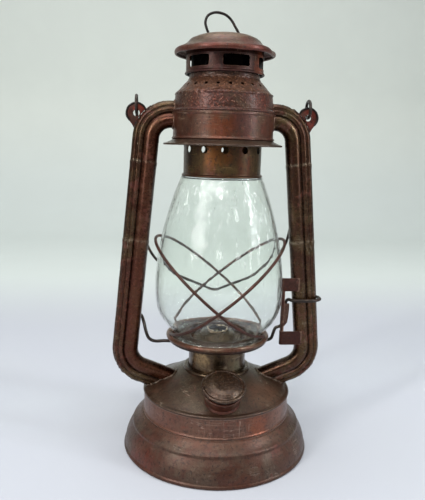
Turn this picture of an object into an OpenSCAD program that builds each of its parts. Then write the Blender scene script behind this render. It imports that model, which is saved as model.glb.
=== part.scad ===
// Tubular barn lantern: sheet-metal frame with side air tubes, a glass globe on a lifting
// plate, a chimney that slides in the top chamber, a wire bail and a screw filler cap.
// Millimetres, +Z up. The origin is the centre of the base on the ground, the tubes lie in
// the XZ plane, the filler cap faces -Y and the lift bracket is on +X.

/* [Sheet and wire] */
// Thickness of the sheet metal
sheet_t = 0.8; // [0.6:0.1:1.0]
// Diameter of the bail, guard and loop wire
wire_d = 2.5; // [2.0:0.1:2.8]
// Diameter of the lift wire
lift_wire_d = 2.8; // [2.4:0.1:3.0]

/* [Tank] */
// Radius of the base rim
base_r = 80; // [78:0.5:84]
// Height of the joint between the skirt and the band
band_z = 32.5; // [31:0.5:34]
// Radius of the tank band
band_r = 63; // [62:0.5:64]
// Height of the seam between the band and the sloping top
seam_z = 51.2; // [50:0.2:52]
// Height of the flat in the middle of the sloping top
neck_z = 69; // [68:0.5:70]
// Outer radius of the collar that carries the burner
collar_r = 24.4; // [24:0.1:24.6]

/* [Filler] */
// Distance of the filler's foot from the axis
filler_r = 47.5; // [46:0.5:49]
// Tilt of the filler, outward
filler_tilt = 22.3; // [20:0.1:25]
// Radius of the filler cap's rim
filler_cap_r = 17.7; // [17:0.1:18]

/* [Side tubes] */
// Outward lean of the tubes
lean = 5.4; // [5:0.1:5.8]
// Bend radius of the upper elbow
top_bend = 19.8; // [19.6:0.1:20]
// Bend radius of the lower elbow
low_bend = 21.5; // [21:0.5:22]
// Slope of the stub that runs down into the tank
stub_slope = 22; // [20:1:24]

/* [Globe] */
// Wall of the glass
glass_t = 2.2; // [1.8:0.1:2.4]

/* [Top chamber] */
// Radius of the chamber's brim
brim_r = 48.3; // [46:0.1:49]
// Radius of the chamber wall
chamber_r = 40.8; // [40.5:0.1:41]
// Radius of the chimney tube
chimney_r = 31.8; // [31.5:0.1:32]
// Radius of the cap's brim
cap_r = 40.3; // [39:0.1:41]

/* [Bail] */
// Height of the bail's pivot axis
pivot_z = 290; // [289.8:0.1:290.2]
// Distance of each bail eye from the middle
eye_x = 70; // [69.8:0.1:70.2]
// Angle of the hanging bail behind the lantern
bail_rest = 18.1; // [17.9:0.1:18.6]

/* [Hidden] */
$fn = 64;

copper = "#7a4a3c";
dark_wire = "#3b322d";
brass = "#a08a5a";
silver = "#b9bcb8";

// ---- Profiles of thin turned sheet ----

function unit(v) = v / norm(v);

// Unit normal, to the left of the line's direction, with the mitre of the corner at point i
function mitre(p, i) =
    let (a = i > 0 ? unit(p[i] - p[i - 1]) : unit(p[1] - p[0]),
         b = i < len(p) - 1 ? unit(p[i + 1] - p[i]) : a,
         m = unit(a + b))
    [-m[1], m[0]] / max(0.5, sqrt((1 + a * b) / 2));

// Closed outline of a sheet of thickness t along the line p; a positive t lies on the left
function sheet(p, t) =
    concat(p, [for (i = [len(p) - 1 : -1 : 0]) p[i] + t * mitre(p, i)]);

function arc(c, r, a0, a1, n) =
    [for (i = [0 : n]) c + r * [cos(a0 + (a1 - a0) * i / n), sin(a0 + (a1 - a0) * i / n)]];

// Smooth line through the points p, with n steps between neighbours
function smooth(p, n) =
    [for (i = [0 : len(p) - 2], j = [0 : n - 1 + (i == len(p) - 2 ? 1 : 0)])
        let (t = j / n, a = p[max(i - 1, 0)], b = p[i], c = p[i + 1],
             d = p[min(i + 2, len(p) - 1)])
        0.5 * (2 * b + (c - a) * t + (2 * a - 5 * b + 4 * c - d) * t * t
            + (3 * b - a - 3 * c + d) * t * t * t)];

module turned(p, t) {
    rotate_extrude() polygon(sheet(p, t));
}

module bead(r, z, bead_r) {
    rotate_extrude() translate([r, z]) circle(bead_r, $fn = 24);
}

// ---- Wire swept along a line of points ----

wire_sides = 10;

function across(d) = norm([d[0], d[1]]) > 0.05 * norm(d) ? unit([-d[1], d[0], 0]) : [1, 0, 0];

// Side direction at each point, carried along the line so that the sweep doesn't twist
function carried(p, i, s) =
    let (d = unit(p[min(i + 1, len(p) - 1)] - p[max(i - 1, 0)]))
    unit(s - (s * d) * d);

function sides(p) =
    [for (i = 0, s = carried(p, 0, across(p[1] - p[0])); i < len(p);
        i = i + 1, s = i < len(p) ? carried(p, i, s) : s) s];

module wire(p, d) {
    n = wire_sides;
    side = sides(p);
    points = [for (i = [0 : len(p) - 1], k = [0 : n - 1])
        let (dir = unit(p[min(i + 1, len(p) - 1)] - p[max(i - 1, 0)]),
             u = side[i], v = cross(dir, u), a = 360 * k / n)
        p[i] + d / 2 * (cos(a) * u + sin(a) * v)];
    walls = [for (i = [0 : len(p) - 2], k = [0 : n - 1])
        [i * n + k, i * n + (k + 1) % n, (i + 1) * n + (k + 1) % n, (i + 1) * n + k]];
    ends = [[for (k = [n - 1 : -1 : 0]) k], [for (k = [0 : n - 1]) (len(p) - 1) * n + k]];
    polyhedron(points, [for (f = concat(walls, ends))
        [for (k = [len(f) - 1 : -1 : 0]) f[k]]], convexity = 10);
}

// ---- Tank ----

base_profile = concat([[base_r - 2.6, 0], [base_r - 0.8, 0], [base_r, 0.8], [base_r, 2.4],
    [base_r - 1, 3.4]], arc([base_r - 20.2, 8], 19, -10, 38, 8),
    [[70.6, 24.2], [70.8, 25.2], [70.2, 26.2], [69, 26.6]],
    arc([68.6, 31.2], 4.6, 262, 200, 4), [[band_r + 0.2, 31.4],
    [band_r + 0.2, band_z - 0.02]]);

module tank_base() {
    color(copper) turned(base_profile, sheet_t);
}

module tank_bottom() {
    color(copper) turned([[band_r - 1, band_z + 5], [band_r - 1, band_z + 1],
        [band_r - 8, band_z + 0.2 + sheet_t], [band_r - 14, band_z + 3], [0, band_z + 3]], -sheet_t);
}

band_profile = [[band_r + 0.3, band_z], [band_r + 0.3, band_z + 1.6], [band_r, band_z + 2.6],
    [band_r - 0.4, seam_z - 1.6]];

module tank_band() {
    color(copper) turned(band_profile, sheet_t);
}

cone_edge_r = band_r - 0.4;
cone_top_r = 28.6;
cone_slope = (neck_z - seam_z) / (cone_edge_r - cone_top_r);
tank_hole_r = 18;

// Height of the sloping top at radius r
function cone_z(r) = seam_z + (cone_edge_r - r) * cone_slope;

// Solid under the tank's sloping top, which trims what stands on it
module tank_envelope() {
    rotate_extrude() polygon([[0, 30], [cone_edge_r + 0.6, 30], [cone_edge_r + 0.6, seam_z],
        [cone_edge_r, seam_z + 0.42], [cone_top_r, neck_z + 0.02], [0, neck_z + 0.02]]);
}

module filler_place() {
    translate([0, -filler_r, cone_z(filler_r)]) rotate([filler_tilt, 0, 0]) children();
}

module tank_top() {
    color(copper) difference() {
        turned([[cone_edge_r + 0.6, seam_z - 1.6], [cone_edge_r + 0.6, seam_z],
            [cone_edge_r, seam_z + 0.4], [cone_top_r, neck_z], [tank_hole_r, neck_z]], sheet_t);
        filler_place() translate([0, 0, -12]) cylinder(r = filler_bore, h = 24);
    }
}

module burner_flange() {
    color(brass) rotate_extrude() polygon(concat([[collar_r + 0.02, neck_z], [28.4, neck_z]],
        arc([27.3, neck_z + 1.3], 1.3, -20, 160, 8), [[collar_r + 0.02, neck_z + 2.4]]));
}

collar_top = 93.4;
spindle_z = 82;
spindle_x = 5;
spindle_r = 1.1;

module spindle_hole(clear) {
    translate([spindle_x, 10, spindle_z]) rotate([-90, 0, 0])
        cylinder(r = spindle_r + clear, h = 30);
}

module burner_collar() {
    color(brass) difference() {
        rotate_extrude() polygon(sheet([[collar_r, neck_z + 0.02], [collar_r, collar_top]],
            sheet_t));
        spindle_hole(0.6);
    }
}

// ---- Filler ----

filler_bore = 11.6;
neck_top = 14.6;

module filler_neck() {
    color(copper) difference() {
        filler_place() rotate_extrude() polygon([[0, -9], [12.8, -9], [12.8, 1], [15.9, 8.8],
            [15.9, 10.6], [13.2, 10.6], [13.2, neck_top], [0, neck_top]]);
        tank_envelope();
        filler_place() translate([0, 0, -12]) cylinder(r = filler_bore, h = 30);
    }
}

module filler_gasket() {
    color("#8a6a48") filler_place() translate([0, 0, neck_top + 0.05])
        cylinder(r = 13.1, h = 0.9);
}

cap_inside = neck_top + 1;

module filler_cap() {
    color(copper) filler_place() rotate_extrude() polygon(concat(
        [[13.9, 11.2], [16.5, 11.2], [16.5, cap_inside - 1.6]],
        arc([filler_cap_r - 1.3, cap_inside - 0.3], 1.3, -60, 130, 8),
        [[15, cap_inside + 0.5], [14.2, cap_inside + 1.4]],
        arc([0, cap_inside - 32.6], 37.2, 72, 90, 6), [[0, cap_inside], [13.9, cap_inside]]));
}

// ---- Side tubes ----

top_c = [42.6, 263];
seam_high = 246;
seam_low = 181;
leg_top = [top_c[0] + top_bend * cos(lean), top_c[1] + top_bend * sin(lean)];
leg_low_z = 88.5;
leg_len = (leg_top[1] - leg_low_z) / cos(lean);
leg_end = leg_top + leg_len * [sin(lean), -cos(lean)];
low_c = leg_end - low_bend * [cos(lean), sin(lean)];
stub_a = 90 - stub_slope;
stub_start = low_c + low_bend * [cos(stub_a), -sin(stub_a)];
stub_len = 44;
tube_half = 10.9;

function leg_at(z) = (leg_top[1] - z) / cos(lean);

// Three overlapping rounds: the main duct inward, and two pressed ribs outward
module tube_section(inset) {
    translate([-3.7, 0]) circle(7 - inset);
    translate([3.1, 0]) circle(5.2 - inset, $fn = 48);
    translate([7.3, 0]) circle(3.6 - inset, $fn = 48);
}

// The upper bend's frame: its centre, turned so that +X faces the leg
module top_frame() {
    translate([top_c[0], 0, top_c[1]]) rotate([0, -lean, 0]) children();
}

// The lower bend's frame, turned the same way
module low_frame() {
    translate([low_c[0], 0, low_c[1]]) rotate([0, -lean, 0]) children();
}

module leg_solid(from, to, inset) {
    top_frame() translate([top_bend, 0, -to]) linear_extrude(to - from) tube_section(inset);
}

module upper_solid(inset) {
    top_frame() {
        translate([top_bend, 0, -leg_at(seam_high)]) linear_extrude(leg_at(seam_high))
            tube_section(inset);
        rotate([90, 0, 0]) rotate_extrude(angle = 90 - lean, $fn = 96) translate([top_bend, 0])
            tube_section(inset);
        rotate([0, lean - 90, 0]) translate([top_bend, 0, 0]) linear_extrude(8)
            tube_section(inset);
    }
}

module lower_solid(inset) {
    low_frame() {
        translate([low_bend, 0, 0]) linear_extrude(leg_len - leg_at(seam_low))
            tube_section(inset);
        rotate([90, 0, 0]) rotate([0, 0, -stub_a - lean]) rotate_extrude(angle = stub_a + lean,
            $fn = 96) translate([low_bend, 0]) tube_section(inset);
        rotate([0, stub_a + lean, 0]) translate([low_bend, 0, -stub_len])
            linear_extrude(stub_len) tube_section(inset);
    }
}

module tube_upper(side) {
    color(copper) mirror([side < 0 ? 1 : 0, 0, 0]) difference() {
        upper_solid(0);
        upper_solid(sheet_t);
        chamber_envelope();
    }
}

module tube_middle(side) {
    color(copper) mirror([side < 0 ? 1 : 0, 0, 0]) difference() {
        leg_solid(leg_at(seam_high), leg_at(seam_low), 0);
        leg_solid(leg_at(seam_high) - 1, leg_at(seam_low) + 1, sheet_t);
    }
}

module tube_lower(side) {
    color(copper) mirror([side < 0 ? 1 : 0, 0, 0]) difference() {
        lower_solid(0);
        lower_solid(sheet_t);
        tank_envelope();
    }
}

// Solid inside the chamber's outer surface, which trims the tubes' ends
module chamber_envelope() {
    rotate_extrude() polygon([[0, 255], [chamber_r, 255], [chamber_r, bead_z - 1],
        [chamber_r + 0.3, bead_z], [chamber_r - 0.1, bead_z + 0.9],
        [chamber_r - 1, bead_z + 1.6], [chamber_r - 1.6, 296.6], [38.2, 299.8], [0, 299.8]]);
}

// Opening between each tube and the chamber
module port_bore() {
    for (s = [-1, 1])
        translate([s * 36, 0, top_c[1] + top_bend - 3.7]) rotate([0, s * 90, 0])
            cylinder(r = 5.2, h = 6.4);
}

// ---- Bail ears ----

ear_hole_z = pivot_z - 6.8;
ear_t = 1.2;
ear_hole_r = 2.6;
tube_out_r = top_bend + tube_half + 0.02;

module ear(side) {
    c = [top_c[0], top_c[1]];
    color(copper) mirror([side < 0 ? 1 : 0, 0, 0]) translate([0, ear_t / 2, 0])
        rotate([90, 0, 0]) difference() {
            linear_extrude(ear_t) union() {
                translate([eye_x, ear_hole_z]) circle(8.6);
                intersection() {
                    translate(c) circle(tube_out_r + 2.6, $fn = 96);
                    polygon([c, c + 50 * [cos(10), sin(10)], c + 60 * [cos(36), sin(36)],
                        c + 50 * [cos(63), sin(63)]]);
                }
            }
            translate([c[0], c[1], -1]) cylinder(r = tube_out_r, h = 4, $fn = 96);
            translate([eye_x, ear_hole_z, -1]) cylinder(r = ear_hole_r, h = 4);
        }
}

// ---- Top chamber ----

floor_z = 263.6;
bead_z = 285.7;
chamber_hole = chimney_r + 1;

module chamber_floor() {
    color(copper) {
        turned([[brim_r, 259.1], [brim_r - 0.2, 259.9], [chamber_r + 1.2, 262.8],
            [chamber_r + 0.9, 263.6], [chamber_r - 2, floor_z], [chamber_hole, floor_z],
            [chamber_hole, floor_z - 2]], sheet_t);
    }
}

module chamber_band() {
    color(copper) difference() {
        turned([[chamber_r, floor_z + 0.02], [chamber_r, bead_z - 1]], sheet_t);
        port_bore();
    }
}

module chamber_top() {
    upper_r = chamber_r - 1;
    color(copper) difference() {
        turned(concat([[chamber_r - 0.1, bead_z - 0.98], [chamber_r + 0.3, bead_z],
            [chamber_r - 0.1, bead_z + 0.9], [upper_r, bead_z + 1.6], [upper_r - 0.6, 296.6],
            [38.2, 299.8]], arc([32.6, 299.6], 5.6, 62, 75, 1),
            [[32, 307.3], [28.9, 310.4], [28.4, 311.6], [28.4, 314.6]]), sheet_t);
        for (i = [0 : 21]) rotate([0, 0, i * 360 / 22 - 88.4])
            translate([33.6, 0, 306.4]) rotate([0, 60, 0]) cylinder(r = 1.35, h = 6, center = true);
    }
}

// ---- Lift bracket on the right tube ----

bracket_y = -6.1;
fold_y = -2.5;
web_x = 54.2;

module bracket_tab(z0, z1, x1) {
    translate([web_x, bracket_y, z0]) cube([x1 - web_x, sheet_t, z1 - z0]);
}

module lift_bracket() {
    color("#5f3732") difference() {
        union() {
            bracket_tab(90.4, 102.4, 72.4);
            bracket_tab(138, 149.6, 68.4);
            translate([web_x, bracket_y, 90.4]) cube([2.6, sheet_t, 59.2]);
            translate([web_x, bracket_y, 104]) cube([sheet_t, fold_y - bracket_y + sheet_t, 26]);
            translate([0, fold_y + sheet_t, 0]) rotate([90, 0, 0]) linear_extrude(sheet_t)
                polygon([[web_x, 104], [56.6, 104.6], [61, 109], [61.9, 126.2], [58.6, 126.2],
                    [web_x, 133]]);
        }
        leg_solid(0, leg_len, 0);
    }
}

// ---- Burner ----

wick_w = 12;
wick_t = 2;
wick_gap = 0.2;
wick_wall = 0.6;
wheel_r = spindle_x - wick_t / 2 - 0.06;

module wick_slot(extra, z0, h) {
    translate([-wick_t / 2 - extra, -wick_w / 2 - extra, z0])
        cube([wick_t + 2 * extra, wick_w + 2 * extra, h]);
}

module burner_base() {
    cup_r = collar_r - sheet_t - 0.1;
    color(silver) difference() {
        turned([[14, 60], [14, neck_z + 0.02], [cup_r, neck_z + 0.02], [cup_r, collar_top]],
            sheet_t);
        spindle_hole(0.05);
    }
    color(silver) difference() {
        translate([0, 0, neck_z + 4]) cylinder(r = cup_r - sheet_t + 0.2, h = sheet_t);
        wick_slot(wick_gap + wick_wall, neck_z, 10);
        for (i = [0 : 11]) rotate([0, 0, 15 + i * 30])
            translate([17, 0, neck_z]) cylinder(r = 1.6, h = 10);
    }
}

module wick_tube() {
    color(silver) difference() {
        wick_slot(wick_gap + wick_wall, 62, 36);
        wick_slot(wick_gap, 61, 41);
        for (y = [-3, 3]) translate([0.5, y - 1.4, spindle_z - 4]) cube([3, 2.8, 8]);
    }
}

module wick() {
    color("#d8cfb8") wick_slot(0, 42, 57);
}

module wick_spindle() {
    color(silver) translate([spindle_x, -5.5, spindle_z]) rotate([-90, 0, 0])
        cylinder(r = spindle_r, h = 59);
}

module wick_wheels() {
    color(brass) for (y = [-3, 3]) translate([spindle_x, y - 0.8, spindle_z])
        rotate([-90, 0, 0]) difference() {
            linear_extrude(1.6) union() {
                circle(wheel_r - 0.7);
                for (i = [0 : 9]) rotate([0, 0, i * 36]) translate([0, -0.5])
                    square([wheel_r, 1]);
            }
            translate([0, 0, -1]) cylinder(r = spindle_r, h = 4);
        }
}

module wick_knob() {
    color(brass) translate([spindle_x, 50.4, spindle_z]) rotate([-90, 0, 0]) difference() {
        union() {
            cylinder(r = 8.4, h = 2.6);
            for (i = [0 : 23]) rotate([0, 0, i * 15]) translate([8.3, 0, 0])
                cylinder(r = 0.7, h = 2.6, $fn = 16);
            translate([0, 0, -2]) cylinder(r = 3, h = 2);
        }
        translate([0, 0, -3]) cylinder(r = spindle_r, h = 6.1);
    }
}

module burner_dome() {
    color(silver) turned(concat([[23.5, collar_top + 0.02], [23.5, collar_top + 1],
        [21.6, collar_top + 2.6]], arc([6, collar_top - 5.6], 14.6, 44, 74, 5),
        [[9, 101.8], [9, 103.2]]), sheet_t);
}

// ---- Globe carriage: plate, globe, guard wires and lift wire ----

plate_z = 94;

module globe_plate() {
    color(copper) turned(concat(arc([42.7, 99.1], 0.9, 200, -30, 6),
        [[43.2, 97], [42, 95], [40.6, plate_z]],
        [[37, plate_z], [36.2, plate_z + 1.6], [31.4, plate_z + 1.6], [28, plate_z + 5.4],
        [25.6, plate_z + 5.8], [25.6, 91]]), -sheet_t);
}

foot_z = plate_z + 1.6 + sheet_t;
chimney_low = 234;

// Radius and height along the outside of the glass, from the foot to the lip
globe_line = concat([[34, foot_z]], smooth([[34, foot_z + 1.2], [36.8, 100.8], [41.8, 106.5], [47.2, 113], [51.6, 121],
    [53.6, 130], [54.2, 140], [53.8, 152], [52.2, 166], [49.4, 182], [45.6, 198], [40.6, 215],
    [36.2, 227], [34, 232.4]], 2), [[34, chimney_low - 0.05]]);

module globe() {
    color([0.85, 0.95, 0.92, 0.35]) turned(globe_line, glass_t);
}

guard_turn = -6.5;
guard_steps = 44;
guard_end = 20;

function globe_r(z) = lookup(z, [for (p = globe_line) [p[1], p[0]]]);

// Height of one guard loop's plane at distance r in the direction phi
function guard_z(phi, r) = 136.5 - 0.84 * r * cos(phi) - 0.07 * r * sin(phi);

// Distance at which the loop clears the glass, found in a few steps
function guard_r(phi, r, steps) = steps == 0 ? r :
    guard_r(phi, globe_r(guard_z(phi, r)) + 2.3 + (cos(phi) < 0 ? 2.2 * pow(cos(phi), 2) : 0),
        steps - 1);

// One loop: a tilted ring round the globe whose two ends drop into the plate. phi runs round
// the lantern from one end. The loop that crosses outside the other is out by a wire.
function guard_point(phi, out) =
    let (r = guard_r(phi, 50, 8), q = r + out * sin(phi) * sin(phi))
    [q * cos(phi), -q * sin(phi), guard_z(phi, r)];

function guard_path(out) = concat(
    [[38.7, -7.4, plate_z + 2.2], [38.8, -9.6, plate_z + 4.6]],
    [for (i = [0 : guard_steps]) guard_point(guard_end + (360 - 2 * guard_end) * i / guard_steps,
        out)],
    [[38.8, 9.6, plate_z + 4.6], [38.7, 7.4, plate_z + 2.2]]);

module guard_wire_left() {
    color(dark_wire) rotate([0, 0, guard_turn]) wire(guard_path(0), wire_d);
}

module guard_wire_right() {
    color(dark_wire) rotate([0, 0, guard_turn])
        wire([for (p = guard_path(2.7)) [-p[0], p[1], p[2]]], wire_d);
}

// Left hook, run under the plate round the back of the collar, bracket and tube wrap
lift_points = [[-71, 10.2, 116], [-66, 9, 113], [-63.6, 4, 108.5], [-61.6, 0.6, 101], [-59, 0, 95],
    [-54, 0, 92.4], [-46, 0, 92.56], [-36, 0, 92.56], [-27, 8, 92.56], [-20, 19, 92.56], [-8, 27, 92.56],
    [8, 27, 92.56], [20, 19, 92.56], [27, 8, 92.56], [36, 0, 92.56], [43, 0, 92.4], [47.4, 0, 94.2],
    [49.2, 0, 99], [51, 0.1, 103.6], [55, 0.2, 105.2], [57.6, 0.2, 109], [58.4, 0.2, 117],
    [59, 0.2, 126.4], [60.4, -3.4, 130.1], [63, -8, 130.3], [70, -9.4, 130.3], [80, -9, 130.3],
    [87, -5, 130.3], [88.6, 0, 130.3], [87, 5.4, 130.3], [80, 9.3, 130.3], [71, 10, 130.3]];

module lift_wire() {
    color(dark_wire) wire(smooth(lift_points, 3), lift_wire_d);
}

// ---- Chimney and cap, lifted by the loop ----

chimney_high = 272;
hole_z = 255.8;

module chimney_tube() {
    color(brass) difference() {
        union() {
            turned([[chimney_r, chimney_low + 0.6], [chimney_r, chimney_high], [27.2, 276.6]],
                sheet_t);
            bead(chimney_r + 0.5, chimney_low + 0.95, 0.95);
        }
        for (i = [0 : 11]) rotate([0, 0, i * 30 - 2.8]) translate([20, 0, hole_z])
            rotate([0, 90, 0]) cylinder(r = 2.9, h = 20);
    }
}

flue_r = 26.8;

module inner_flue() {
    color(copper) turned([[flue_r, 276.64], [flue_r, 335]], 0.8 * sheet_t);
}

cap_band_r = 31;

module cap_band() {
    color(copper) difference() {
        rotate_extrude() polygon([[cap_band_r - 0.6, 314.2], [cap_band_r + 0.2, 314.1],
            [cap_band_r + 0.8, 314.8], [cap_band_r, 316.4], [cap_band_r, 337],
            [cap_band_r - sheet_t, 337], [cap_band_r - sheet_t, 317.6], [flue_r + 0.05, 317.6],
            [flue_r + 0.05, 316.8], [cap_band_r - sheet_t, 316.8],
            [cap_band_r - sheet_t, 316]]);
        for (i = [0 : 5]) rotate([0, 0, i * 60 + 20.2]) rotate_extrude(angle = 41)
            translate([cap_band_r - 3, 318.5]) square([5, 8.5]);
    }
}

foot_x = [-13.9, 12.4];

module cap_top() {
    color(copper) difference() {
        turned([[cap_r - 1.2, 329.2], [cap_r - 0.2, 330], [cap_r, 331.6], [cap_r - 0.9, 333.4],
            [cap_r - 3.4, 334.8], [31, 338], [27, 341.6], [25.2, 342.2], [20, 344], [12, 345.2],
            [5, 345.6], [0, 345.6]], sheet_t);
        for (x = foot_x) translate([x, 0, 330]) cylinder(r = 1.2, h = 20, $fn = 24);
    }
}

loop_points = [[-13.9, 0, 341.4], [-13.9, 0, 346], [-15.4, 0, 350], [-16.4, 0, 354.4],
    [-14.6, 0, 359.2], [-10.4, 0, 361.6], [-5.4, 0, 361.9], [0, 0, 360.2], [4.4, 0, 356.4],
    [7.8, 0, 351.2], [10.8, 0, 346.4], [12.4, 0, 343.4], [12.4, 0, 341.4]];

module cap_loop() {
    color(dark_wire) wire(smooth(loop_points, 3), 2.1);
}

// ---- Bail ----

eye_r = 6.8;
eye_turn = 290;
eye_steps = 20;

// Legs and crown in the plane of the bail: x, and the distance from the pivot axis
bail_line = smooth([[-eye_x, 0], [-eye_x, 14], [-70, 30], [-68.8, 70], [-66.4, 104], [-63.4, 124],
    [-59.4, 135.4], [-54.4, 144], [-46, 153.4], [-35.6, 161.4], [-21, 168.4], [-8, 174.4],
    [3, 178.4], [13, 174.8], [24, 170], [39, 163], [50, 153], [60, 142], [66, 131], [68.8, 118],
    [70.2, 90], [70.6, 60], [eye_x, 30], [eye_x, 14], [eye_x, 0]], 2);

function eye_points(x) = [for (i = [eye_steps : -1 : 1])
    let (t = eye_turn * i / eye_steps) [x, eye_r * cos(t), eye_r * sin(t)]];

function reversed(p) = [for (i = [len(p) - 1 : -1 : 0]) p[i]];

// Hanging straight down from the pivot; the eyes close behind it
bail_path = concat(eye_points(-eye_x), [for (p = bail_line) [p[0], eye_r, -p[1]]],
    reversed(eye_points(eye_x)));

module bail() {
    color(dark_wire) translate([0, 0, pivot_z]) rotate([bail_rest, 0, 0])
        wire(bail_path, wire_d);
}

// ---- Assembly ----

tank_base();
tank_bottom();
tank_band();
tank_top();
burner_flange();
burner_collar();
filler_neck();
filler_gasket();
filler_cap();
tube_upper(-1);  // tube_left_upper
tube_middle(-1);  // tube_left_middle
tube_lower(-1);  // tube_left_lower
tube_upper(1);  // tube_right_upper
tube_middle(1);  // tube_right_middle
tube_lower(1);  // tube_right_lower
ear(-1);  // ear_left
ear(1);  // ear_right
chamber_floor();
chamber_band();
chamber_top();
lift_bracket();
burner_base();
wick_tube();
wick();
wick_spindle();
wick_wheels();
wick_knob();
burner_dome();
globe_plate();
globe();
guard_wire_left();
guard_wire_right();
lift_wire();
chimney_tube();
inner_flue();
cap_band();
cap_top();
cap_loop();
bail();
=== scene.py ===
"""Looks of the tubular barn lantern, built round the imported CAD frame.

Measures are in millimetres in the part's frame (+Z up, tubes in the XZ plane, filler cap on -Y),
turned into metres when a mesh is made. Angles are in degrees.
"""
import bpy
import bmesh
import math
import numpy as np
from mathutils import Matrix, Vector, noise


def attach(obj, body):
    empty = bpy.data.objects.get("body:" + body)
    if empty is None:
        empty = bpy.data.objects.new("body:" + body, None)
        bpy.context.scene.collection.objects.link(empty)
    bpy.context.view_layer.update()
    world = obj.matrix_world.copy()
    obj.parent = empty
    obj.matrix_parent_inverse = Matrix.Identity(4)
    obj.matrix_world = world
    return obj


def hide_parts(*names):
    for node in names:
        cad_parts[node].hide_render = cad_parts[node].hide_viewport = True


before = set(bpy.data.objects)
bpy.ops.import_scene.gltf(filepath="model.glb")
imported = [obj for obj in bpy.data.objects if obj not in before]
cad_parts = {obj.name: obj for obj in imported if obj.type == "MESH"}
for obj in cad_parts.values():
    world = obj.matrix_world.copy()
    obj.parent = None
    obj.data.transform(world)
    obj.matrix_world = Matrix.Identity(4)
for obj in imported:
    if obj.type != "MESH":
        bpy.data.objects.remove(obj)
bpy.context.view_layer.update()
MM = 0.001
WALL = 0.8  # mm of metal in every sheet
SAME = 2e-6  # metres within which two points are one
RING_WIRE, BAIL_WIRE, LIFT_WIRE = 1.05, 1.25, 1.38  # radii; the guards have the bail's
SIDES = ((-1, "left"), (1, "right"))


# ------ shapes

def radians(d):
    return d * math.pi / 180


def smooth(points, n):
    """Catmull-Rom line through points, with n steps between neighbours."""
    p = [np.array(q, float) for q in points]
    out = []
    for i in range(len(p) - 1):
        a, b, c, d = p[max(i - 1, 0)], p[i], p[i + 1], p[min(i + 2, len(p) - 1)]
        for j in range(n):
            t = j / n
            out.append(0.5 * (2 * b + (c - a) * t + (2 * a - 5 * b + 4 * c - d) * t * t
                              + (3 * b - a - 3 * c + d) * t ** 3))
    return out + [p[-1]]


def rounded(points, cut, n=3):
    """Polyline with its corners rounded: each corner starts to turn `cut` mm before it."""
    p = [np.array(q, float) for q in points]
    out = [p[0]]
    for i in range(1, len(p) - 1):
        a, b, c = p[i - 1], p[i], p[i + 1]
        la, lc = np.linalg.norm(a - b), np.linalg.norm(c - b)
        k = min(cut, la * 0.45, lc * 0.45)
        s, e = b + (a - b) / la * k, b + (c - b) / lc * k
        for j in range(n + 1):
            t = j / n
            out.append((1 - t) ** 2 * s + 2 * t * (1 - t) * b + t * t * e)
    return out + [p[-1]]


def sheet(points, t):
    """Closed outline of a sheet of thickness t; a positive t lies left of the line."""
    p = [np.array(q, float) for q in points]
    back = []
    for i in range(len(p)):
        a = p[i] - p[i - 1] if i else p[1] - p[0]
        b = p[i + 1] - p[i] if i < len(p) - 1 else a
        a, b = a / (np.linalg.norm(a) + 1e-9), b / (np.linalg.norm(b) + 1e-9)
        m = a + b
        m = m / (np.linalg.norm(m) + 1e-9)
        w = t / max(0.6, math.sqrt(max(0, (1 + a @ b) / 2)))
        back.append(p[i] + w * np.array([-m[1], m[0]]))
    return p + back[::-1]


def dense(outline, step=1.3):
    """Closed outline with extra points, so that no side is longer than step."""
    out = []
    for i, a in enumerate(outline):
        a, b = np.array(a, float), np.array(outline[(i + 1) % len(outline)], float)
        n = max(1, int(math.ceil(np.linalg.norm(b - a) / step)))
        out += [a + (b - a) * k / n for k in range(n)]
    return out


def arc(cx, cz, r, a0, a1, n):
    """n + 1 points from angle a0 to a1 on the circle round (cx, cz)."""
    return [(cx + r * math.cos(radians(a0 + (a1 - a0) * i / n)),
             cz + r * math.sin(radians(a0 + (a1 - a0) * i / n))) for i in range(n + 1)]


def joined(meshes):
    """Vertices and faces of several meshes as one."""
    verts, faces = [], []
    for mv, mf in meshes:
        o = len(verts)
        verts += mv
        faces += [tuple(i + o for i in f) for f in mf]
    return verts, faces


def new_object(name, data):
    ob = bpy.data.objects.new(name, data)
    bpy.context.collection.objects.link(ob)
    return ob


def soften(me, angle=38):
    """Smooth shading, except where faces meet at more than angle."""
    me.polygons.foreach_set("use_smooth", [True] * len(me.polygons))
    me.set_sharp_from_angle(angle=radians(angle))


def make(name, verts, faces, body, nodes, mat, angle=38, masks=None):
    """Mesh object from points in mm. It rides on body and stands for the CAD nodes.
    masks gives named values for each point, which its material may read."""
    me = bpy.data.meshes.new(name)
    me.from_pydata([tuple(np.array(v) * MM) for v in verts], [], faces)
    for key, values in (masks or {}).items():
        me.attributes.new(key, "FLOAT", "POINT").data.foreach_set("value", values)
    bm = bmesh.new()
    bm.from_mesh(me)
    bmesh.ops.remove_doubles(bm, verts=bm.verts, dist=SAME)
    bmesh.ops.recalc_face_normals(bm, faces=bm.faces)
    bm.to_mesh(me)
    bm.free()
    soften(me, angle)
    me.materials.append(mat)
    ob = new_object(name, me)
    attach(ob, body)
    if nodes:
        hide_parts(*nodes)
    return ob


def wobble(p, amp, freq, seed=0.0):
    """Smooth noise of height amp at point p, with freq waves a mm."""
    return amp * noise.noise(Vector((p[0] * freq + seed, p[1] * freq - seed, p[2] * freq + 2 * seed)))


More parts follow.
